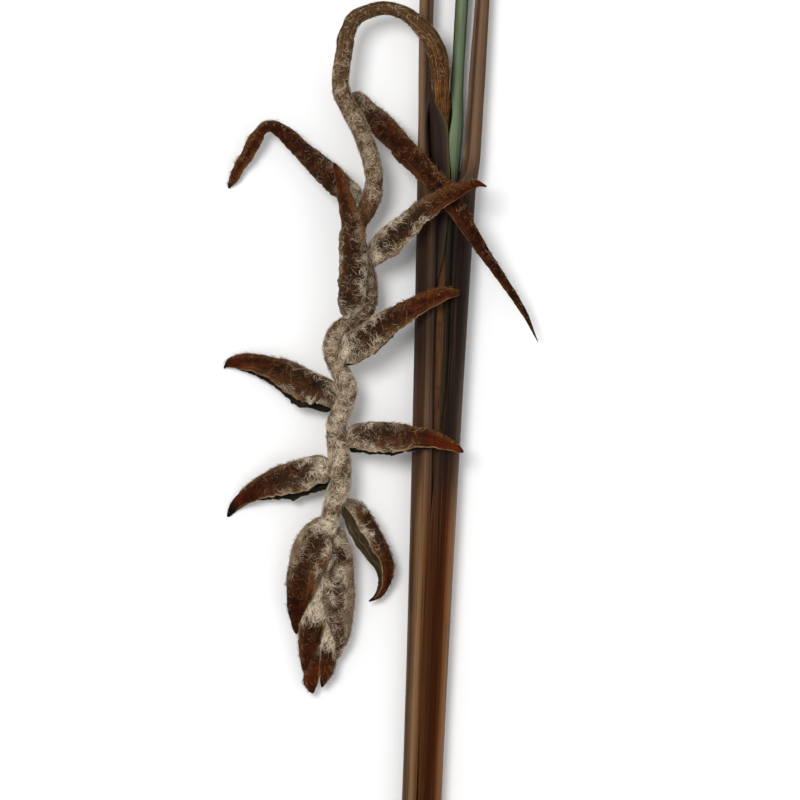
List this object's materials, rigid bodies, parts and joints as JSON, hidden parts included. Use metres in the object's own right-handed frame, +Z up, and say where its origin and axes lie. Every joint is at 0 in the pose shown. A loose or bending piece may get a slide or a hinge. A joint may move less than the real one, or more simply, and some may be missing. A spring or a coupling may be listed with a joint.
{
  "type": "cut heliconia",
  "caption": "Cut, dried hanging heliconia lying flat: a false stem of overlapping leaf sheaths, an arched woolly flower stalk, boat-shaped bracts along it and a closed end bud.",
  "frame": {"origin": "on the surface the piece lies on, under the middle of its bounding box", "axes": "+Y along the stem from the lower cut towards the leaf stalks, +Z up from the surface, +X towards the long lowest bract's tip"},
  "size_m": [0.2712, 0.828, 0.0566],
  "materials": {
    "brown_sheath": "smooth dried leaf sheath, slightly glossy",
    "green_sheath": "smooth dried leaf sheath, slightly glossy",
    "dark_sheath": "smooth dried leaf sheath, slightly glossy",
    "stalk": "fibrous and woolly",
    "bract": "dry, veined and woolly",
    "bud_bract": "dry, veined and woolly"
  },
  "bodies": {
    "root": {"left_leaf_sheath": "brown_sheath", "right_leaf_sheath": "brown_sheath", "green_leaf_sheath": "green_sheath", "flower_sheath": "dark_sheath", "flower_stalk": "stalk", "bract_01": "bract", "bract_02": "bract", "bract_03": "bract", "bract_04": "bract", "bract_05": "bract", "bract_06": "bract", "bract_07": "bract", "bract_08": "bract", "bract_09": "bract", "bract_10": "bud_bract", "bract_11": "bud_bract", "bract_12": "bud_bract", "bract_13": "bud_bract", "bract_14": "bud_bract"}
  },
  "joints": []
}
